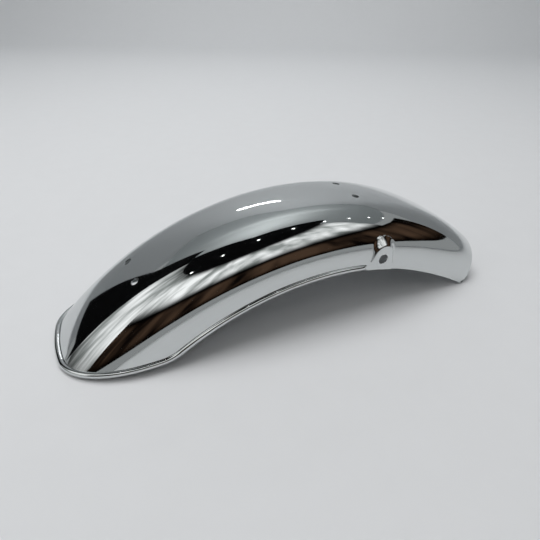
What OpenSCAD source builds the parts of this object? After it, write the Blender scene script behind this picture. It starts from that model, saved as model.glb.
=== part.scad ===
// Rear mudguard for a motorcycle: one piece of steel sheet, pressed into a U-shaped arch
// around the wheel, with a half-round bead rolled along its edge and chrome plated.
// The arch stands on its two ends. +X points to the front end, +Y across, +Z up, and the
// origin lies on the ground, midway along and across.

/* [Arch] */
// Radius of the crown's outer face about the wheel axle
arc_r = 340; // [280:1:420]
// Angle of the arch between its tail tip and its front end, in degrees
arc_angle = 87.4; // [76:0.2:110]
// Width over the side walls, without the beads
guard_w = 140; // [120:1:180]
// Thickness of the sheet
sheet_t = 1.2; // [0.8:0.1:2]

/* [Cross section] */
// Radius of the gentle curve across the crown
crown_r = 240; // [150:1:400]
// Radius of the shoulder between the crown and each side wall
shoulder_r = 49; // [30:1:52]
// Depth of a side wall, from the crown's top down to its edge
wall_depth = 58; // [54:0.5:75]

/* [Front end] */
// Angle from the front end back to where its lower edge starts to rise, in degrees
front_rise_angle = 19.4; // [8:0.2:24]
// Radius of that rising lower edge in side view
front_edge_r = 497; // [430:1:700]

/* [Tail] */
// Sweep of the tail's cut, away from a square cut, in degrees
tail_sweep = 45.8; // [35:0.2:50]
// Radius of the rounded corner between a side wall's edge and the tail's edge
tail_corner_r = 40; // [15:1:60]

/* [Bead] */
// Outer radius of the half-round bead
bead_r = 2.8; // [2.2:0.1:4]
// Angle from the front end back to where the bead stops at the boss, in degrees
bead_stop_angle = 31.4; // [30:0.2:40]

/* [Side boss] */
// Angle from the front end back to the middle of the boss, in degrees
boss_angle = 27.8; // [22:0.1:30]
// Height of the boss's flat face, from its arched top to the wall's edge
boss_h = 25; // [22:0.5:30]
// Width of the boss's flat face at the wall's edge
boss_base_w = 31; // [24:0.5:36]
// Radius of the arched top of the flat face
boss_top_r = 9; // [7:0.5:12]
// Distance that the flat face stands outside the wall's widest line
boss_lift = 1.5; // [0.5:0.1:3]
// Width of the sloping flank round the arched top
boss_flank = 7; // [4:0.5:8]
// Diameter of the fixing hole in the boss
boss_hole_d = 10.5; // [6:0.1:12]
// Distance from the wall's edge up to the middle of the fixing hole
boss_hole_h = 11.5; // [8:0.5:14]

/* [Crown holes] */
// Diameter of the four holes in the crown
crown_hole_d = 8; // [5:0.1:12]
// Distance between the two holes of a pair, across the arch
crown_hole_pitch = 37; // [20:0.5:50]
// Angle from the front end back to the front pair, in degrees
front_pair_angle = 30; // [10:0.2:36]
// Angle from the tail tip forward to the tail pair, in degrees
tail_pair_angle = 17.4; // [8:0.2:30]

/* [Hidden] */
// Angles along the arch are measured forward from its middle, in side view
front_a = arc_angle / 2;
tail_a = -arc_angle / 2;
half_w = guard_w / 2;
edge_r = arc_r - wall_depth;
// The crown's curve runs tangent into the shoulder at this angle of the section
shoulder_y = half_w - shoulder_r;
tangent_v = asin(shoulder_y / (crown_r - shoulder_r));
shoulder_axle_r = arc_r - crown_r + (crown_r - shoulder_r) * cos(tangent_v);
// The tail's cut is a straight line in side view, at this height over the axle once the
// arch is turned by tail_turn
cut_h = arc_r * sin(tail_sweep);
tail_turn = tail_a + 90 - tail_sweep;
corner = [-sqrt(pow(edge_r + tail_corner_r, 2) - pow(cut_h + tail_corner_r, 2)),
    cut_h + tail_corner_r];
corner_a = atan(corner.x / corner.y);
boss_a = front_a - boss_angle;
bead_stop_a = front_a - bead_stop_angle;
// The front section's lower edge is an arc tangent to the wall's edge at rise_a
rise_a = front_a - front_rise_angle;
rise_offset = front_edge_r - edge_r;
// Tools run past the sheet by this much, and joined solids overlap by this much
past = 20;
overlap = 0.01;
// Angles that tools run past a boss and past the front end
past_boss = 10;
past_front = 20;
// Thickness of the plates that a boss is stretched over
skin_t = 0.01;
// The bead's flange lies inside the sheet, this far below either face
weld_inset = 0.3;
weld_length = 1.2;
// Gap between two arcs of the tail's roll, and the rise of the sphere that closes it
joint_gap = 0.1;
joint_rise = 0.05;

// Point in side view at radius r from the axle and angle a along the arch
function at_angle(r, a) = [r * sin(a), r * cos(a)];
// A side-view point turned forward about the axle
function turned(p, a) = [p.x * cos(a) + p.y * sin(a), p.y * cos(a) - p.x * sin(a)];
// Section angle v is 0 in the middle of the crown and 90 on a side wall
// Distance from the middle plane, and radius from the axle, at section angle v
function across_at(v) = v < tangent_v ? crown_r * sin(v) : shoulder_y + shoulder_r * sin(v);
function radius_at(v) = v < tangent_v ? arc_r - crown_r + crown_r * cos(v)
    : shoulder_axle_r + shoulder_r * cos(v);

// The arch turns by level_a about the axle so that both ends meet the ground
front_foot = at_angle(sqrt(pow(front_edge_r, 2) - pow(rise_offset * sin(front_rise_angle), 2))
    - rise_offset * cos(front_rise_angle), front_a);
line_h = cut_h + bead_r;
tail_tip = turned(at_angle(arc_r, -acos(line_h / arc_r)), tail_turn);
level_a = atan((tail_tip.y - front_foot.y) / (front_foot.x - tail_tip.x))
    - asin(bead_r / norm(front_foot - tail_tip));
ground_z = turned(front_foot, -level_a).y;
middle_x = (turned(at_angle(arc_r, front_a), -level_a).x
    + turned(tail_tip, -level_a).x - bead_r) / 2;

// Turns a section drawn as [radius, across] round the axle, between two angles
module around_axle(from_a, to_a) {
    rotate([90, 0, 0])
        rotate([0, 0, 90 - to_a])
            rotate_extrude(angle = to_a - from_a, $fn = 100)
                children();
}

// A side-view outline carried across the whole width
module across_width() {
    rotate([90, 0, 0])
        linear_extrude(height = guard_w + 2 * past, center = true)
            children();
}

// The U section's area, set in by d from the outer face
module u_area(d) {
    reach = 2 * crown_r;
    translate([arc_r - crown_r, 0])
        intersection() {
            circle(r = crown_r - d, $fn = 120);
            polygon([[0, 0], reach * [cos(tangent_v), sin(tangent_v)],
                reach * [cos(tangent_v), -sin(tangent_v)]]);
        }
    for (side = [-1, 1])
        translate([shoulder_axle_r, side * shoulder_y])
            circle(r = shoulder_r - d, $fn = 48);
    translate([edge_r - past, -half_w + d])
        square([shoulder_axle_r - edge_r + past, guard_w - 2 * d]);
}

// One level of a boss: its outline grown by g, as a thin plate at a distance y
module boss_level(y, g) {
    translate([0, y, edge_r + boss_h - boss_top_r])
        rotate([90, 0, 0]) cylinder(r = boss_top_r + g, h = skin_t, center = true, $fn = 32);
    foot_w = boss_base_w + g;
    translate([-foot_w / 2, y, edge_r - past])
        cube([foot_w, skin_t, past]);
}

// Raised block of one boss with sloping flanks, set in by d to leave the sheet
module boss_form(side, d) {
    face_y = half_w + boss_lift - d;
    rotate([0, boss_a, 0])
        mirror([0, side < 0 ? 1 : 0, 0])
            hull() {
                boss_level(face_y, -d);
                boss_level(face_y - boss_flank, boss_flank - d);
            }
}

// The skin of one boss, down to the middle of the sheet that it is raised from
module boss_skin(side) {
    difference() {
        boss_form(side, 0);
        boss_form(side, sheet_t);
        around_axle(boss_a - past_boss, boss_a + past_boss) u_area(sheet_t / 2);
        across_width() circle(r = edge_r, $fn = 120);
    }
}

// Side view of what is cut away below the edges, with the line set in by d
module below_edge(d) {
    rotate(-tail_turn) {
        translate([corner.x - arc_r, cut_h + d - arc_r]) square([arc_r, arc_r]);
        difference() {
            polygon([[0, 0], corner * (edge_r + d) / norm(corner), corner,
                [corner.x, cut_h + d], [corner.x, 0]]);
            translate(corner) circle(r = tail_corner_r - d, $fn = 120);
        }
    }
    circle(r = edge_r + d, $fn = 120);
}

module trim_cut() {
    below_edge(0);
    rotate(-tail_turn) translate([corner.x - arc_r, line_h - arc_r]) square(arc_r);
    intersection() {
        below_edge(2 * bead_r - sheet_t / 2);
        rotate(-tail_turn) translate([corner.x, 0]) square(2 * arc_r);
        rotate(-bead_stop_a) translate([-2 * arc_r, 0]) square(2 * arc_r);
    }
    intersection() {
        translate(at_angle(-rise_offset, rise_a)) circle(r = front_edge_r, $fn = 150);
        polygon([[0, 0], at_angle(2 * arc_r, rise_a), at_angle(2 * arc_r, front_a + past_front)]);
    }
}

// The bead's section, with X towards the edge and Y out of the face: a flange inside the
// sheet, a half round of sheet, and a lip that comes back level with the inner face
module bead_section() {
    inner_r = bead_r - sheet_t;
    difference() {
        circle(r = bead_r, $fn = 16);
        circle(r = inner_r, $fn = 16);
        translate([-past, -past]) square([2 * past, past]);
    }
    translate([inner_r, -sheet_t]) square([sheet_t, sheet_t + overlap]);
    translate([-bead_r, weld_inset - sheet_t]) square([sheet_t, sheet_t - weld_inset + overlap]);
    translate([-bead_r - weld_length, weld_inset - sheet_t])
        square([weld_length + overlap, sheet_t - 2 * weld_inset]);
}

// The bead along one side wall's edge, and round the tail's corner
module side_bead(side) {
    mirror([0, side < 0 ? 1 : 0, 0]) {
        around_axle(corner_a + tail_turn, bead_stop_a)
            translate([edge_r + bead_r, -half_w]) rotate(180) bead_section();
        rotate([0, tail_turn, 0])
            translate([corner.x, 0, corner.y])
                around_axle(180 + corner_a, 180 - atan(joint_gap / tail_corner_r))
                    translate([tail_corner_r - bead_r, -half_w]) mirror([0, 1]) bead_section();
    }
}

// Across the tail the edge is rolled round a wire. The roll's middle line lies where the
// cut's plane meets the outer face, and is drawn as arcs, each tangent to the one before:
// through two places on the shoulder, then by a pair of arcs to the crown's middle
function unit(v) = v / norm(v);
function roll_point(v) = [-sqrt(pow(radius_at(v), 2) - pow(line_h, 2)), across_at(v)];
function run_after(run, chord) = let (w = unit(chord)) 2 * (run * w) * w - run;
high_v = 60;
low_v = 30;
roll_start = [corner.x, half_w];
roll_high = roll_point(high_v);
roll_low = roll_point(low_v);
roll_tip = roll_point(0);
run_high = run_after([-1, 0], roll_high - roll_start);
run_low = run_after(run_high, roll_low - roll_high);
tip_run = [0, -1];
to_tip = roll_tip - roll_low;
both_runs = to_tip * (run_low + tip_run);
spread = 2 * (1 - run_low * tip_run);
pair_reach = (sqrt(pow(both_runs, 2) + spread * to_tip * to_tip) - both_runs) / spread;
roll_joint = (roll_low + roll_tip + pair_reach * (run_low - tip_run)) / 2;

// One arc of the roll, leaving the point p in the direction run and ending at q, short of
// both by the joints' gap
module roll_arc(p, q, run) {
    chord = q - p;
    inward = [-run.y, run.x];
    radius = chord * chord / (2 * inward * chord);
    middle = p + radius * inward;
    gap_a = atan(joint_gap / radius);
    translate([middle.x, middle.y, line_h])
        rotate(atan2(-inward.y, -inward.x) + gap_a)
            rotate_extrude(angle = 2 * (acos(min(1, run * unit(chord))) - gap_a), $fn = 72)
                translate([radius, 0]) circle(r = bead_r, $fn = 16);
}

// The arcs are joined by spheres a hair larger than the roll
module tail_roll() {
    rotate([0, tail_turn, 0]) {
        for (side = [-1, 1])
            mirror([0, side < 0 ? 1 : 0, 0]) {
                roll_arc(roll_start, roll_high, [-1, 0]);
                roll_arc(roll_high, roll_low, run_high);
                roll_arc(roll_low, roll_joint, run_low);
                for (p = [roll_start, roll_high, roll_low, roll_joint])
                    translate([p.x, p.y, line_h]) sphere(r = bead_r + joint_rise, $fn = 12);
            }
        roll_arc(roll_joint, [roll_joint.x, -roll_joint.y], run_after(run_low, roll_joint - roll_low));
    }
}

module crown_hole(a, side) {
    y = crown_hole_pitch / 2;
    v = y < crown_r * sin(tangent_v) ? asin(y / crown_r) : asin((y - shoulder_y) / shoulder_r);
    rotate([0, a, 0])
        translate([0, side * y, radius_at(v)])
            rotate([-side * v, 0, 0])
                cylinder(d = crown_hole_d, h = past, center = true, $fn = 36);
}

// One hole on each side, bored in line through both bosses
module boss_holes() {
    rotate([0, boss_a, 0])
        translate([0, 0, edge_r + boss_hole_h])
            rotate([90, 0, 0])
                cylinder(d = boss_hole_d, h = guard_w + 2 * past, center = true, $fn = 36);
}

module mudguard() {
    color("silver")
        translate([-middle_x, 0, -ground_z])
            rotate([0, -level_a, 0])
                difference() {
                    union() {
                        difference() {
                            around_axle(tail_a, front_a)
                                difference() {
                                    u_area(0);
                                    u_area(sheet_t);
                                }
                            across_width() trim_cut();
                            for (side = [-1, 1]) boss_form(side, sheet_t);
                        }
                        for (side = [-1, 1]) {
                            boss_skin(side);
                            side_bead(side);
                        }
                        tail_roll();
                    }
                    for (side = [-1, 1]) {
                        crown_hole(front_a - front_pair_angle, side);
                        crown_hole(tail_a + tail_pair_angle, side);
                    }
                    boss_holes();
                }
}

mudguard();
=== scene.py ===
import math
import bpy
from mathutils import Matrix, Vector
from mathutils.geometry import delaunay_2d_cdt
from mathutils.kdtree import KDTree


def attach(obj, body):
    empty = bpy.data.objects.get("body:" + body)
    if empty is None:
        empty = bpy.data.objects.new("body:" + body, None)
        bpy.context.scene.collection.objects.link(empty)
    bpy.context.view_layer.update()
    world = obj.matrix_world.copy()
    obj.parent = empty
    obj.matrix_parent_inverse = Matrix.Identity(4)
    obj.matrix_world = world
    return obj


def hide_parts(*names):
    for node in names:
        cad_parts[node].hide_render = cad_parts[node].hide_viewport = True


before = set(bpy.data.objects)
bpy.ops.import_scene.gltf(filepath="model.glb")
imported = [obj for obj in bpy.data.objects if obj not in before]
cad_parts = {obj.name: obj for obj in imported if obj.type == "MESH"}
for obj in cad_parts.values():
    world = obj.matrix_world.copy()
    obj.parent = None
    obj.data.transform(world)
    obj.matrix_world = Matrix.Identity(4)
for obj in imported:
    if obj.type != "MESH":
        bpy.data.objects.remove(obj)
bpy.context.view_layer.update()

# Camera, at the photograph's viewing angle: it stands off the tail's near side, a little
# above the arch, and is held almost level.
MM = 0.001
CAMERA_AT = Vector((-185.1, -363.3, 284.0)) * MM
CAMERA_AIM = Vector((0.3625, 0.7651, -0.5322))
CAMERA_ROLL = math.radians(1.16)
FRAME_W = 540
FOCAL_PIXELS = 440

lens = bpy.data.cameras.new("view")
lens.sensor_width = 36
lens.lens = FOCAL_PIXELS / FRAME_W * lens.sensor_width
lens.clip_start = 0.01
camera = bpy.data.objects.new("view", lens)
bpy.context.scene.collection.objects.link(camera)
camera.rotation_mode = "QUATERNION"
camera.rotation_quaternion = (CAMERA_AIM.to_track_quat("-Z", "Y")
                              @ Matrix.Rotation(CAMERA_ROLL, 4, "Z").to_quaternion())
camera.location = CAMERA_AT
bpy.context.scene.camera = camera
bpy.context.scene.view_settings.view_transform = "Standard"


# Chrome plate. Polished decorative chrome over pressed steel: a near mirror whose faint
# waviness from the press bends long reflections a little, with a thin haze of wiping marks
# and a few dull specks that keep it from looking computed.
def linear(hex_colour):
    """An sRGB hex colour as the linear RGBA that the shaders take."""
    channels = [int(hex_colour[i:i + 2], 16) / 255 for i in (1, 3, 5)]
    return [c / 12.92 if c <= 0.04045 else ((c + 0.055) / 1.055) ** 2.4 for c in channels] + [1]


def add_node(tree, kind, settings=None, inputs=None):
    """Adds one node; an input that is a socket is linked, and any other is set."""
    node = tree.nodes.new(kind)
    for name, value in (settings or {}).items():
        setattr(node, name, value)
    for name, value in (inputs or {}).items():
        if isinstance(value, bpy.types.NodeSocket):
            tree.links.new(value, node.inputs[name])
        else:
            node.inputs[name].default_value = value
    return node


def chrome_plate():
    material = bpy.data.materials.new("decorative_chrome_plate")
    material.use_nodes = True
    tree = material.node_tree
    tree.nodes.clear()
    place = add_node(tree, "ShaderNodeTexCoord").outputs["Object"]
    # Patches of haze about 22 mm wide, as a hand and a cloth leave them
    haze = add_node(tree, "ShaderNodeTexNoise", inputs={
        "Vector": place, "Scale": 1 / (22 * MM), "Detail": 5.0, "Roughness": 0.6})
    # Wiping marks are near 0.1 mm wide, too fine to show: drawn 1.1 mm wide and 17 mm long
    wipes = add_node(tree, "ShaderNodeTexNoise", inputs={
        "Vector": add_node(tree, "ShaderNodeMapping", inputs={
            "Vector": place,
            "Scale": (1 / (17 * MM), 1 / (1.1 * MM), 1 / (1.1 * MM))}).outputs["Vector"],
        "Scale": 1.0, "Detail": 3.0})
    cloud = add_node(tree, "ShaderNodeMath", {"operation": "MULTIPLY"}, {
        0: haze.outputs["Fac"], 1: wipes.outputs["Fac"]})
    dulling = add_node(tree, "ShaderNodeMapRange", inputs={
        "Value": cloud.outputs["Value"], "From Min": 0.15, "From Max": 0.45,
        "To Min": 0.025, "To Max": 0.085})
    # Specks of dust, near 0.1 mm: drawn up to 0.7 mm across and about 4 mm apart, to show
    specks = add_node(tree, "ShaderNodeTexVoronoi", inputs={
        "Vector": place, "Scale": 1 / (4 * MM)})
    speck = add_node(tree, "ShaderNodeMapRange", inputs={
        "Value": specks.outputs["Distance"], "From Min": 0.03, "From Max": 0.09,
        "To Min": 0.1, "To Max": 0.0})
    roughness = add_node(tree, "ShaderNodeMath", {"operation": "ADD"}, {
        0: dulling.outputs["Result"], 1: speck.outputs["Result"]})
    # The press leaves waves about 45 mm long
    press_waves = add_node(tree, "ShaderNodeTexNoise", inputs={
        "Vector": place, "Scale": 1 / (45 * MM), "Detail": 1.0})
    waviness = add_node(tree, "ShaderNodeBump", inputs={
        "Strength": 0.12, "Distance": 0.001, "Height": press_waves.outputs["Fac"]})
    shader = add_node(tree, "ShaderNodeBsdfPrincipled", inputs={
        "Base Color": linear("#d3d6d6"), "Metallic": 1.0,
        "Roughness": roughness.outputs["Value"], "Normal": waviness.outputs["Normal"]})
    add_node(tree, "ShaderNodeOutputMaterial", inputs={"Surface": shader.outputs["BSDF"]})
    return material


# Mudguard sheet, first as a flat blank: its outline, its holes, and the height of its
# rolled bead and bosses. X runs along the crown from the arch's middle, Y round the section
# from the crown's middle, and Z out of the sheet.
# Lengths are in millimetres and angles in radians.
ARC_R = 340
HALF_ARC = math.radians(87.4 / 2)
HALF_W = 70
SHEET_T = 1.2
CROWN_R = 240
SHOULDER_R = 49
EDGE_R = ARC_R - 58

# Outline: the lower edge rises in an arc at the front, and the tail is cut straight. The
# cut is TAIL_INSET higher than the solid's, so that the bead on it stays in the solid's box
TURN_IN = math.radians(19.4)
RISE_A = HALF_ARC - TURN_IN
FRONT_EDGE_R = 497
TAIL_SWEEP = math.radians(45.8)
TAIL_INSET = 1.1
CORNER_R = 40
BEAD_R = 2.8
BEAD_STOP_A = HALF_ARC - math.radians(31.4)

# Bosses and holes
BOSS_A = HALF_ARC - math.radians(27.8)
BOSS_H = 25
BOSS_HALF_BASE = 15.5
BOSS_TOP_R = 9
BOSS_LIFT = 1.5
BOSS_FLANK = 7
BOSS_FILLET = 2
BOSS_EDGE = 1.6
BOSS_HOLE_R = 5.25
BOSS_HOLE_H = 11.5
CROWN_HOLE_R = 4
CROWN_HOLE_Y = 18.5
CROWN_HOLE_ANGLES = (HALF_ARC - math.radians(30), math.radians(17.4) - HALF_ARC)

# Mesh: steps along the outline, half round the bead and round a hole; widths of the quads
# inside the bead and round a hole; and the grid's steps along and across, by the bosses
# and elsewhere
OUTLINE_STEP = 2.0
BEAD_STEPS = 12
HOLE_STEPS = 40
BEAD_MARGINS = (0.5, 1.6)
HOLE_MARGINS = (0, 0.6, 1.6)
FINE_GRID = (0.75 / EDGE_R, 0.75)
COARSE_GRID = (2.6 / ARC_R, 2.2)

shoulder_y = HALF_W - SHOULDER_R
tangent_v = math.asin(shoulder_y / (CROWN_R - SHOULDER_R))
shoulder_axle_r = ARC_R - CROWN_R + (CROWN_R - SHOULDER_R) * math.cos(tangent_v)
crown_run = CROWN_R * tangent_v
wall_run = crown_run + SHOULDER_R * (math.pi / 2 - tangent_v)
rise_offset = FRONT_EDGE_R - EDGE_R
foot_r = (math.sqrt(FRONT_EDGE_R ** 2 - (rise_offset * math.sin(TURN_IN)) ** 2)
          - rise_offset * math.cos(TURN_IN))
tail_turn = math.pi / 2 - HALF_ARC - TAIL_SWEEP


def at_angle(radius, angle):
    """Place in side view, with the angle measured from straight above the axle."""
    return Vector((math.sin(angle), math.cos(angle))) * radius


# The arch stands on its front foot and on the roll round its tail tip: the turn about the
# axle that brings both to one level, and the place on the ground below the arch's middle
tip_a = tail_turn - math.acos(math.sin(TAIL_SWEEP) + BEAD_R / ARC_R)
span = at_angle(foot_r, HALF_ARC) - at_angle(ARC_R, tip_a)
level_a = math.atan2(-span.y, span.x) - math.asin(BEAD_R / span.length)
middle_x = (at_angle(ARC_R, HALF_ARC - level_a).x + at_angle(ARC_R, tip_a - level_a).x
            - BEAD_R) / 2
ground = Vector((middle_x, 0, at_angle(foot_r, HALF_ARC - level_a).y)) * MM


def section(run):
    """Place round the section: distance across, radius from the axle, and slope angle."""
    length = abs(run)
    if length < crown_run:
        v = length / CROWN_R
        across, radius = CROWN_R * math.sin(v), ARC_R - CROWN_R + CROWN_R * math.cos(v)
    elif length < wall_run:
        v = tangent_v + (length - crown_run) / SHOULDER_R
        across = shoulder_y + SHOULDER_R * math.sin(v)
        radius = shoulder_axle_r + SHOULDER_R * math.cos(v)
    else:
        v = math.pi / 2
        across, radius = HALF_W, shoulder_axle_r - (length - wall_run)
    return math.copysign(across, run), radius, v


def run_at(radius):
    """Distance round the section to where it has a radius from the axle."""
    if radius <= shoulder_axle_r:
        return wall_run + shoulder_axle_r - radius
    if radius >= shoulder_axle_r + SHOULDER_R * math.cos(tangent_v):
        return CROWN_R * math.acos(min(1, (radius - ARC_R + CROWN_R) / CROWN_R))
    v = math.acos((radius - shoulder_axle_r) / SHOULDER_R)
    return crown_run + SHOULDER_R * (v - tangent_v)


def between(start, end, length):
    """Values from start up to but not including end, about one step apart."""
    count = max(2, round(length / OUTLINE_STEP))
    return [start + (end - start) * i / count for i in range(count)]


def half_outline():
    """One half's outline as (angle, run), from the front end's middle to the tail's."""
    front_run = run_at(foot_r)
    places = [(HALF_ARC, run) for run in between(0, front_run, front_run)]
    centre = at_angle(-rise_offset, RISE_A)
    foot = at_angle(foot_r, HALF_ARC) - centre
    for a in between(math.atan2(foot.x, foot.y), RISE_A, EDGE_R * TURN_IN):
        p = centre + at_angle(FRONT_EDGE_R, a)
        places.append((math.atan2(p.x, p.y), run_at(p.length)))
    cut_h = ARC_R * math.sin(TAIL_SWEEP) + TAIL_INSET
    corner = Vector((-math.sqrt((EDGE_R + CORNER_R) ** 2 - (cut_h + CORNER_R) ** 2),
                     cut_h + CORNER_R))
    corner_a = math.atan2(corner.x, corner.y)
    places += [(a, run_at(EDGE_R)) for a in between(
        RISE_A, corner_a + tail_turn, EDGE_R * (RISE_A - corner_a - tail_turn))]
    for a in between(corner_a + math.pi, math.pi, -corner_a * CORNER_R):
        p = corner + at_angle(CORNER_R, a)
        places.append((math.atan2(p.x, p.y) + tail_turn, run_at(p.length)))
    tail_run = run_at(math.hypot(corner.x, cut_h))
    for run in between(tail_run, 0, tail_run * 1.2) + [0]:
        radius = section(run)[1]
        x = -math.sqrt(radius ** 2 - cut_h ** 2)
        places.append((math.atan2(x, cut_h) + tail_turn, run))
    return places


def boss_level(x, z):
    """How far down a boss's flank a side-view place lies, from 0 on its flat face."""
    place = Vector((abs(x), z))
    top = Vector((0, BOSS_H - BOSS_TOP_R))
    low, high = 0.0, BOSS_FLANK + 5.0
    for _ in range(14):
        level = (low + high) / 2
        radius = BOSS_TOP_R + level
        base = Vector((BOSS_HALF_BASE + level / 2, 0))
        to_top = top - base
        lean = math.asin(min(1, radius / to_top.length))
        along = to_top.normalized()
        along = Vector((along.x * math.cos(lean) + along.y * math.sin(lean),
                        along.y * math.cos(lean) - along.x * math.sin(lean)))
        reach = math.sqrt(max(0, to_top.length_squared - radius ** 2))
        if (place - base) @ along > reach:
            outside = (place - top).length - radius
        else:
            outside = (place - base) @ Vector((along.y, -along.x))
        low, high = (level, high) if outside > 0 else (low, level)
    return (low + high) / 2


def boss_rise(angle, run):
    """Height of a boss over the sheet, square to the sheet. The bosses lie where the
    section slopes by more than 0.8 radians."""
    across, radius, v = section(run)
    across = abs(across)
    rise = 0.0
    if v < 0.8 or abs(angle - BOSS_A) * EDGE_R > BOSS_H + BOSS_FLANK:
        return rise
    for _ in range(4):
        out = radius + rise * math.cos(v)
        x, z = out * math.sin(angle - BOSS_A), out * math.cos(angle - BOSS_A) - EDGE_R
        level = boss_level(x, max(z, 0))
        if level > BOSS_FLANK + BOSS_FILLET:
            return 0.0
        flank = level - BOSS_EDGE / 2 if level > BOSS_EDGE else level ** 2 / (2 * BOSS_EDGE)
        face = HALF_W + BOSS_LIFT - flank
        blend = max(0, 1 - abs(across - face) / BOSS_FILLET)
        rise = (max(across, face) + blend ** 2 * BOSS_FILLET / 4 - across) / math.sin(v)
    return rise


def formed(angle, run):
    """Place of the sheet's outer face about the axle, without its bead and bosses."""
    across, radius, _ = section(run)
    return Vector((radius * math.sin(angle), across, radius * math.cos(angle)))


def inset(loop, distance):
    """A closed outline moved inwards by a true distance on the sheet. Where there is no
    bead it moves half as far, and towards the front end a tenth as far. It changes from
    one to the next over 8 mm and 40 mm."""
    moved = []
    for i, (angle, run) in enumerate(loop):
        radius = section(run)[1]
        sides = []
        for j, k in ((i - 1, i), (i, (i + 1) % len(loop))):
            along = Vector(((loop[k][0] - loop[j][0]) * radius, loop[k][1] - loop[j][1]))
            along.normalize()
            sides.append(Vector((-along.y, along.x)))
        beadless = min(1, max(0, (angle - BEAD_STOP_A) * EDGE_R / 8))
        forward = min(1, max(0, (angle - BOSS_A) * EDGE_R / 40))
        true = distance * (1 - 0.5 * beadless - 0.4 * forward)
        shift = (sides[0] + sides[1]) * true / (1 + sides[0] @ sides[1])
        moved.append((angle + shift.x / radius, run + shift.y))
    return moved


def hole_ring(angle, run, radius):
    """A round hole's rim in the crown."""
    middle_r = section(run)[1]
    return [(angle + radius * math.sin(t) / middle_r, run + radius * math.cos(t))
            for t in (2 * math.pi * i / HOLE_STEPS for i in range(HOLE_STEPS))]


def boss_hole_ring(side, radius):
    """A round hole's rim in a boss, round in side view."""
    ring = []
    for t in (2 * math.pi * i / HOLE_STEPS for i in range(HOLE_STEPS)):
        x, z = radius * math.sin(t), EDGE_R + BOSS_HOLE_H + radius * math.cos(t)
        angle, run = BOSS_A + math.atan2(x, z), run_at(math.hypot(x, z))
        for _ in range(4):
            rise = boss_rise(angle, run)
            run = run_at(math.hypot(x, z) - rise * math.cos(section(run)[2]))
        ring.append((angle, side * run))
    return ring


def holes():
    """All the holes, each as a set of rings from its rim outwards."""
    crown_hole_run = CROWN_R * math.asin(CROWN_HOLE_Y / CROWN_R)
    ring_sets = []
    for side in (-1, 1):
        for angle in CROWN_HOLE_ANGLES:
            ring_sets.append([hole_ring(angle, side * crown_hole_run, CROWN_HOLE_R + more)
                              for more in HOLE_MARGINS])
        ring_sets.append([boss_hole_ring(side, BOSS_HOLE_R + more)
                          for more in HOLE_MARGINS[:2]])
    return ring_sets


def inside(outline, angle, run):
    """True if a place lies within the outline."""
    crossings = False
    for (a0, r0), (a1, r1) in zip(outline, outline[1:] + outline[:1]):
        if (r0 > run) != (r1 > run) and angle < (a1 - a0) * (run - r0) / (r1 - r0) + a0:
            crossings = not crossings
    return crossings


def grid_places(outline, ring_sets):
    """A grid of places inside the blank that keeps clear of its bead and its holes."""
    border = KDTree(len(outline))
    for i, place in enumerate(outline):
        border.insert(formed(*place), i)
    border.balance()
    clear_of_edge = 2 * BEAD_R + 2.4
    clearings = []
    for ring_set in ring_sets:
        rim = [formed(*place) for place in ring_set[-1]]
        middle = sum(rim, Vector()) / len(rim)
        clearings.append((middle, (rim[0] - middle).length + 0.9))

    grid = []
    max_run = run_at(EDGE_R)
    for fine, (step_a, step_run) in ((False, COARSE_GRID), (True, FINE_GRID)):
        for i in range(int(2 * HALF_ARC / step_a)):
            angle = i * step_a - HALF_ARC
            for j in range(int(2 * max_run / step_run)):
                run = j * step_run - max_run
                if (abs(angle - BOSS_A) * EDGE_R < BOSS_H and abs(run) > 58) != fine:
                    continue
                p = formed(angle, run)
                if border.find(p)[2] < clear_of_edge or any(
                        (p - middle).length < reach for middle, reach in clearings):
                    continue
                if inside(outline, angle, run):
                    grid.append((angle, run))
    return grid


def ribbon(outer, inner):
    """Quads between two closed rows of points."""
    n = len(outer)
    return [(outer[i], outer[(i + 1) % n], inner[(i + 1) % n], inner[i]) for i in range(n)]


def fill(places, borders, loose):
    """Triangles between closed rows of points and through the loose points among them."""
    used = [v for row in borders for v in row] + list(loose)
    back = {v: i for i, v in enumerate(used)}
    edges = []
    for row in borders:
        edges += [(back[row[i]], back[row[(i + 1) % len(row)]]) for i in range(len(row))]
    flat = [Vector((places[v][0] * ARC_R, places[v][1])) for v in used]
    _, _, triangles, originals, _, _ = delaunay_2d_cdt(flat, edges, [], 0, 1e-6, True)
    owner = {v: number for number, row in enumerate(borders) for v in row}
    filled = []
    for triangle in triangles:
        corners = [used[originals[i][0]] for i in triangle]
        owners = {owner.get(v) for v in corners}
        if len(owners) > 1 or owners == {None}:
            filled.append(corners)
    return filled


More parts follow.
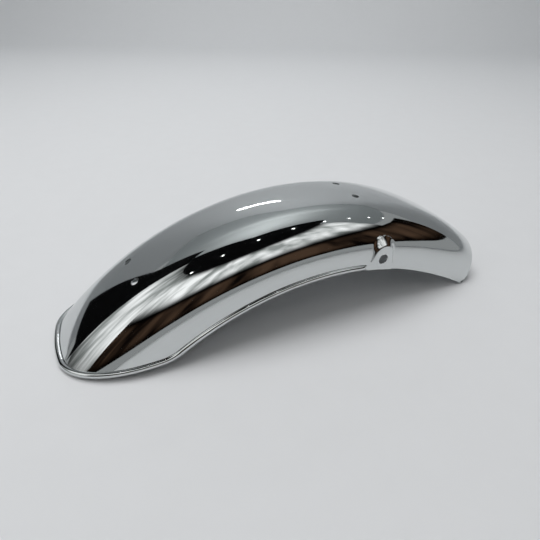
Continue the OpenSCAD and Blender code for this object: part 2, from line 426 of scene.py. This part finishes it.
def draw_blank():
    """The flat blank as a mesh, with the bead's and bosses' heights in Z."""
    places, heights, faces = [], [], []
    half = half_outline()
    outline = half + [(a, -run) for a, run in reversed(half[1:-1])]

    insets = [BEAD_R * (1 - math.cos(math.pi * i / BEAD_STEPS)) for i in range(BEAD_STEPS + 1)]
    insets += [2 * BEAD_R + margin for margin in BEAD_MARGINS]
    rows = []
    for distance in insets:
        bead_h = math.sqrt(max(0, BEAD_R ** 2 - (distance - BEAD_R) ** 2))
        rows.append(range(len(places), len(places) + len(outline)))
        for (angle, run), (edge_a, _) in zip(inset(outline, distance), outline):
            fade = min(1, max(0, (BEAD_STOP_A - edge_a) * EDGE_R / 1.5))
            places.append((angle, run))
            heights.append(max(bead_h * fade, boss_rise(angle, run)))
    for outer, inner in zip(rows, rows[1:]):
        faces += ribbon(outer, inner)
    borders = [rows[-1]]

    ring_sets = holes()
    for ring_set in ring_sets:
        rows = []
        for ring in ring_set:
            rows.append(range(len(places), len(places) + len(ring)))
            places += ring
            heights += [boss_rise(angle, run) for angle, run in ring]
        for small, large in zip(rows, rows[1:]):
            faces += ribbon(large, small)
        borders.append(rows[-1])

    grid = grid_places(outline, ring_sets)
    loose = range(len(places), len(places) + len(grid))
    places += grid
    heights += [boss_rise(angle, run) for angle, run in grid]
    faces += fill(places, borders, loose)

    for number, corners in enumerate(faces):
        (x0, y0), (x1, y1), (x2, y2) = (places[v] for v in corners[:3])
        if (x1 - x0) * (y2 - y0) < (x2 - x0) * (y1 - y0):
            faces[number] = tuple(reversed(corners))
    mesh = bpy.data.meshes.new("mudguard_blank")
    mesh.from_pydata([(a * ARC_R * MM, run * MM, h * MM) for (a, run), h in
                      zip(places, heights)], [], faces)
    mesh.validate()
    return mesh


# Mudguard sheet, pressed: the blank gets its thickness, is bent round the section and then
# round the axle, and is set down on its two ends.
def section_curve():
    """Half of the U section as a curve, from the crown's middle to 10 mm past the edge."""
    curve = bpy.data.curves.new("half_section", "CURVE")
    curve.dimensions = "3D"
    line = curve.splines.new("POLY")
    count = 500
    length = run_at(EDGE_R) + 10
    line.points.add(count)
    for i, point in enumerate(line.points):
        across, radius, _ = section(length * i / count)
        point.co = (0, across * MM, radius * MM, 1)
    return bpy.data.objects.new("half_section", curve)


def press_tree():
    """The press as a node group: it takes the blank and gives the finished sheet."""
    tree = bpy.data.node_groups.new("press_sheet", "GeometryNodeTree")
    face = tree.interface
    face.new_socket("Geometry", in_out="OUTPUT", socket_type="NodeSocketGeometry")
    face.new_socket("Blank", in_out="INPUT", socket_type="NodeSocketGeometry")
    face.new_socket("Section", in_out="INPUT", socket_type="NodeSocketObject")
    for name in ("Arch Radius", "Sheet Thickness", "Level Angle"):
        face.new_socket(name, in_out="INPUT", socket_type="NodeSocketFloat")
    face.new_socket("Foot", in_out="INPUT", socket_type="NodeSocketVector")
    face.new_socket("Finish", in_out="INPUT", socket_type="NodeSocketMaterial")
    given = add_node(tree, "NodeGroupInput").outputs

    inwards = add_node(tree, "ShaderNodeMath", {"operation": "MULTIPLY"}, {
        0: given["Sheet Thickness"], 1: -1.0})
    thick = add_node(tree, "GeometryNodeExtrudeMesh", {"mode": "FACES"}, {
        "Mesh": given["Blank"], "Offset Scale": inwards.outputs[0], "Individual": False})
    under = add_node(tree, "GeometryNodeFlipFaces", inputs={"Mesh": thick.outputs["Mesh"]})
    both = add_node(tree, "GeometryNodeJoinGeometry")
    tree.links.new(given["Blank"], both.inputs[0])
    tree.links.new(under.outputs[0], both.inputs[0])
    closed = add_node(tree, "GeometryNodeMergeByDistance", inputs={
        "Geometry": both.outputs[0], "Distance": 0.001 * MM})

    flat = add_node(tree, "ShaderNodeSeparateXYZ", inputs={
        0: add_node(tree, "GeometryNodeInputPosition").outputs[0]}).outputs
    run = add_node(tree, "ShaderNodeMath", {"operation": "ABSOLUTE"}, {0: flat["Y"]})
    side = add_node(tree, "ShaderNodeMath", {"operation": "SIGN"}, {0: flat["Y"]})
    line = add_node(tree, "GeometryNodeObjectInfo", inputs={"Object": given["Section"]})
    here = add_node(tree, "GeometryNodeSampleCurve", {"mode": "LENGTH"}, {
        "Curves": line.outputs["Geometry"], "Length": run.outputs[0]})
    out = add_node(tree, "ShaderNodeVectorMath", {"operation": "CROSS_PRODUCT"}, {
        0: (1, 0, 0), 1: here.outputs["Tangent"]})
    lift = add_node(tree, "ShaderNodeVectorMath", {"operation": "SCALE"}, {
        0: out.outputs[0], "Scale": flat["Z"]})
    raised = add_node(tree, "ShaderNodeVectorMath", {"operation": "ADD"}, {
        0: here.outputs["Position"], 1: lift.outputs[0]})
    sides = add_node(tree, "ShaderNodeCombineXYZ", inputs={
        "X": 1.0, "Y": side.outputs[0], "Z": 1.0})
    sided = add_node(tree, "ShaderNodeVectorMath", {"operation": "MULTIPLY"}, {
        0: raised.outputs[0], 1: sides.outputs[0]})

    angle = add_node(tree, "ShaderNodeMath", {"operation": "DIVIDE"}, {
        0: flat["X"], 1: given["Arch Radius"]})
    turn = add_node(tree, "ShaderNodeMath", {"operation": "SUBTRACT"}, {
        0: angle.outputs[0], 1: given["Level Angle"]})
    bent = add_node(tree, "ShaderNodeVectorRotate", {"rotation_type": "Y_AXIS"}, {
        "Vector": sided.outputs[0], "Angle": turn.outputs[0]})
    stood = add_node(tree, "ShaderNodeVectorMath", {"operation": "SUBTRACT"}, {
        0: bent.outputs[0], 1: given["Foot"]})
    pressed = add_node(tree, "GeometryNodeSetPosition", inputs={
        "Geometry": closed.outputs[0], "Position": stood.outputs[0]})

    sharp_angle = 0.6
    edge_angle = add_node(tree, "GeometryNodeInputMeshEdgeAngle").outputs["Unsigned Angle"]
    folds = add_node(tree, "FunctionNodeCompare", {"operation": "GREATER_THAN"}, {
        0: edge_angle, 1: sharp_angle})
    creased = add_node(tree, "GeometryNodeSetShadeSmooth", {"domain": "EDGE"}, {
        "Geometry": pressed.outputs[0], "Selection": folds.outputs[0], "Shade Smooth": False})
    real = add_node(tree, "GeometryNodeRealizeInstances", inputs={0: creased.outputs[0]})
    finished = add_node(tree, "GeometryNodeSetMaterial", inputs={
        "Geometry": real.outputs[0], "Material": given["Finish"]})
    add_node(tree, "NodeGroupOutput", inputs={0: finished.outputs[0]})
    return tree


def press(blank, tree, values):
    """Runs the press on the blank and returns its result as a plain mesh object."""
    maker = bpy.data.objects.new("press", blank)
    bpy.context.scene.collection.objects.link(maker)
    steps = maker.modifiers.new("press", "NODES")
    steps.node_group = tree
    for item in tree.interface.items_tree:
        if item.in_out == "INPUT" and item.name in values:
            steps[item.identifier] = values[item.name]
    graph = bpy.context.evaluated_depsgraph_get()
    mesh = bpy.data.meshes.new_from_object(maker.evaluated_get(graph))
    bpy.data.objects.remove(maker)
    mesh.name = "mudguard_sheet"
    sheet = bpy.data.objects.new("mudguard_sheet", mesh)
    bpy.context.scene.collection.objects.link(sheet)
    return sheet


profile = section_curve()
bpy.context.scene.collection.objects.link(profile)
blank = draw_blank()
for polygon in blank.polygons:
    polygon.use_smooth = True
sheet = press(blank, press_tree(), {
    "Section": profile, "Arch Radius": ARC_R * MM, "Sheet Thickness": SHEET_T * MM,
    "Level Angle": level_a, "Foot": ground, "Finish": chrome_plate()})
bpy.data.objects.remove(profile)
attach(sheet, "root")
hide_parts("mudguard")


# Floor and backdrop: one pale seamless sweep that runs under the arch and curves up behind
# it, as in a product picture. It shows the arch's soft shadow, and no horizon.
def plain(name, colour, roughness):
    """A flat, almost sheenless surface; clouds about 30 mm wide keep it from banding. Its
    real grain, below 0.5 mm, is too fine to show."""
    material = bpy.data.materials.new(name)
    material.use_nodes = True
    tree = material.node_tree
    grain = add_node(tree, "ShaderNodeTexNoise", inputs={
        "Vector": add_node(tree, "ShaderNodeTexCoord").outputs["Object"],
        "Scale": 1 / (30 * MM), "Detail": 6.0})
    shade = add_node(tree, "ShaderNodeMapRange", inputs={
        "Value": grain.outputs["Fac"], "To Min": 0.985, "To Max": 1.015})
    tint = add_node(tree, "ShaderNodeVectorMath", {"operation": "SCALE"}, {
        0: linear(colour)[:3], "Scale": shade.outputs["Result"]})
    shader = tree.nodes["Principled BSDF"]
    tree.links.new(tint.outputs[0], shader.inputs["Base Color"])
    shader.inputs["Roughness"].default_value = roughness
    shader.inputs["Specular IOR Level"].default_value = 0.1
    return material


def sweep(name, half_width, front, back, bend_r, height):
    """A floor from front to back that curves up into a wall."""
    arc = [math.radians(a) for a in range(0, 91, 5)]
    line = [(front, 0.0)] + [(back + bend_r * math.sin(a), bend_r * (1 - math.cos(a)))
                             for a in arc] + [(back + bend_r, height)]
    mesh = bpy.data.meshes.new(name)
    mesh.from_pydata([(x, y, z) for y, z in line for x in (-half_width, half_width)], [],
                     [(2 * i, 2 * i + 1, 2 * i + 3, 2 * i + 2) for i in range(len(line) - 1)])
    for polygon in mesh.polygons:
        polygon.use_smooth = True
    made = bpy.data.objects.new(name, mesh)
    made.rotation_euler.z = BACKDROP_TURN
    bpy.context.scene.collection.objects.link(made)
    return made


BACKDROP_TURN = math.radians(-25)
floor = sweep("floor", half_width=9, front=-3.0, back=2.4, bend_r=1.2, height=4.2)
floor.data.materials.append(plain("matt_studio_sweep", "#dfe0e2", 0.9))


# Bands and lights that the chrome mirrors, all out of the camera's view. They stand round
# the camera's side of the arch: a low brown curtain that glows with painted light instead of
# being lit, a tall diffuser, and a black valance that closes in overhead and comes down on
# the left; a grey ceiling covers the back. The folds on the curtain and diffusers are painted
# shade.
def band(name, low, high, start, end, material):
    """A strip between two (radius, height) circles, over a range of compass degrees."""
    count = 40
    mesh = bpy.data.meshes.new(name)
    points, faces = [], []
    for i in range(count + 1):
        a = math.radians(start + (end - start) * i / count)
        points += [(r * math.cos(a), r * math.sin(a), z) for r, z in (low, high)]
    for i in range(count):
        faces.append((2 * i, 2 * i + 2, 2 * i + 3, 2 * i + 1))
    mesh.from_pydata(points, [], faces)
    mesh.materials.append(material)
    made = bpy.data.objects.new(name, mesh)
    made.visible_camera = False
    bpy.context.scene.collection.objects.link(made)


def glow_with_painted_folds(name, dark, pale, glow, low_z, high_z):
    """Glowing cloth whose soft upright folds, about 310 mm wide, are painted shade and light:
    noise from dark to pale in the glow, not shape. The glow fades at its ends."""
    material = bpy.data.materials.new(name)
    material.use_nodes = True
    tree = material.node_tree
    tree.nodes.clear()
    place = add_node(tree, "ShaderNodeTexCoord").outputs["Object"]
    # Painted fold shading: noise mixes the dark and pale colours in place of light and shade on
    # real folds
    stretched = add_node(tree, "ShaderNodeMapping", inputs={
        "Vector": place, "Scale": (1.0, 1.0, 0.22)})
    folds = add_node(tree, "ShaderNodeTexNoise", inputs={
        "Vector": stretched.outputs["Vector"], "Scale": 1 / (310 * MM), "Detail": 3.0})
    level = add_node(tree, "ShaderNodeMapRange", inputs={
        "Value": folds.outputs["Fac"], "From Min": 0.36, "From Max": 0.62})
    shade = add_node(tree, "ShaderNodeMix", {"data_type": "RGBA"})
    tree.links.new(level.outputs["Result"], shade.inputs["Factor"])
    for socket, value in ((shade.inputs[6], dark), (shade.inputs[7], pale)):
        socket.default_value = linear(value)
    height = add_node(tree, "ShaderNodeSeparateXYZ", inputs={"Vector": place}).outputs["Z"]
    fade = (high_z - low_z) * 0.3
    rise = add_node(tree, "ShaderNodeMapRange", {"interpolation_type": "SMOOTHSTEP"}, {
        "Value": height, "From Min": low_z, "From Max": low_z + fade})
    fall = add_node(tree, "ShaderNodeMapRange", {"interpolation_type": "SMOOTHSTEP"}, {
        "Value": height, "From Min": high_z, "From Max": high_z - fade})
    ends = add_node(tree, "ShaderNodeMath", {"operation": "MULTIPLY"}, {
        0: rise.outputs["Result"], 1: fall.outputs["Result"]})
    strength = add_node(tree, "ShaderNodeMath", {"operation": "MULTIPLY"}, {
        0: ends.outputs[0], 1: glow})
    light = add_node(tree, "ShaderNodeEmission", inputs={
        "Color": shade.outputs[2], "Strength": strength.outputs[0]})
    add_node(tree, "ShaderNodeOutputMaterial", inputs={"Surface": light.outputs["Emission"]})
    return material


# The brown curtain is no lamp: its glow and its dark-to-pale folds are painted light and shade
band("brown_curtain", (1.8, 0.28), (1.75, 1.12), 197, 356,
     glow_with_painted_folds("brown_curtain", "#120d0b", "#5c4738", 0.75, 0.28, 1.12))
band("diffuser", (1.74, 1.1), (1.25, 2.3), 198, 335,
     glow_with_painted_folds("white_diffuser", "#8f9391", "#ffffff", 1.35, 1.1, 2.3))
band("side_diffuser", (1.85, 0.2), (1.25, 2.3), 151, 198,
     glow_with_painted_folds("side_diffuser", "#8f9391", "#ffffff", 1.3, 0.05, 2.5))
black_cloth = plain("black_cloth", "#0b0b0c", 0.9)
band("black_valance", (1.24, 2.25), (0.02, 2.8), 140, 350, black_cloth)
band("black_side", (1.9, 0.12), (1.25, 2.3), 126, 151, black_cloth)
band("grey_ceiling", (0.02, 2.85), (4.5, 3.3), -60, 230, plain("grey_ceiling", "#d6dada", 0.9))


def softbox(name, place, aim, width, height, power, seen):
    """A rectangular light; seen says if the chrome mirrors it or is only lit by it."""
    light = bpy.data.lights.new(name, "AREA")
    light.shape = "RECTANGLE"
    light.size, light.size_y = width, height
    light.energy = power
    made = bpy.data.objects.new(name, light)
    made.location = place
    made.rotation_euler = (Vector(aim) - Vector(place)).to_track_quat("-Z", "Y").to_euler()
    made.visible_glossy = seen
    bpy.context.scene.collection.objects.link(made)


softbox("overhead", (-0.3, 0.2, 2.2), (0, 0.1, 0), 1.8, 1.4, 28, False)
softbox("wall_wash", (0.6, 1.2, 2.7), (1.4, 3.2, 1.0), 3.0, 0.6, 20, False)
softbox("ceiling_wash", (0.5, 1.0, 1.9), (0.3, 1.2, 3.0), 1.6, 1.2, 14, False)
softbox("tube", (0.62, 2.3, 1.52), (0, 0, 0.1), 0.66, 0.035, 1.0, True)

# Eight small ceiling lamps in one straight, evenly spaced row along the arch, which the
# crown and shoulder mirror as a row of bright dots
LAMP_SPACING = 0.31
LAMP_SIZE = 0.022
for number in range(8):
    softbox(f"lamp_{number}", (LAMP_SPACING * (number - 2), -0.22, 1.18), (0, 0, 0.08),
            LAMP_SIZE, LAMP_SIZE, 0.014, True)

# The room's own dim, even light
world = bpy.data.worlds.new("studio")
bpy.context.scene.world = world
world.use_nodes = True
world.node_tree.nodes["Background"].inputs["Color"].default_value = linear("#c8cbcc")
world.node_tree.nodes["Background"].inputs["Strength"].default_value = 0.55
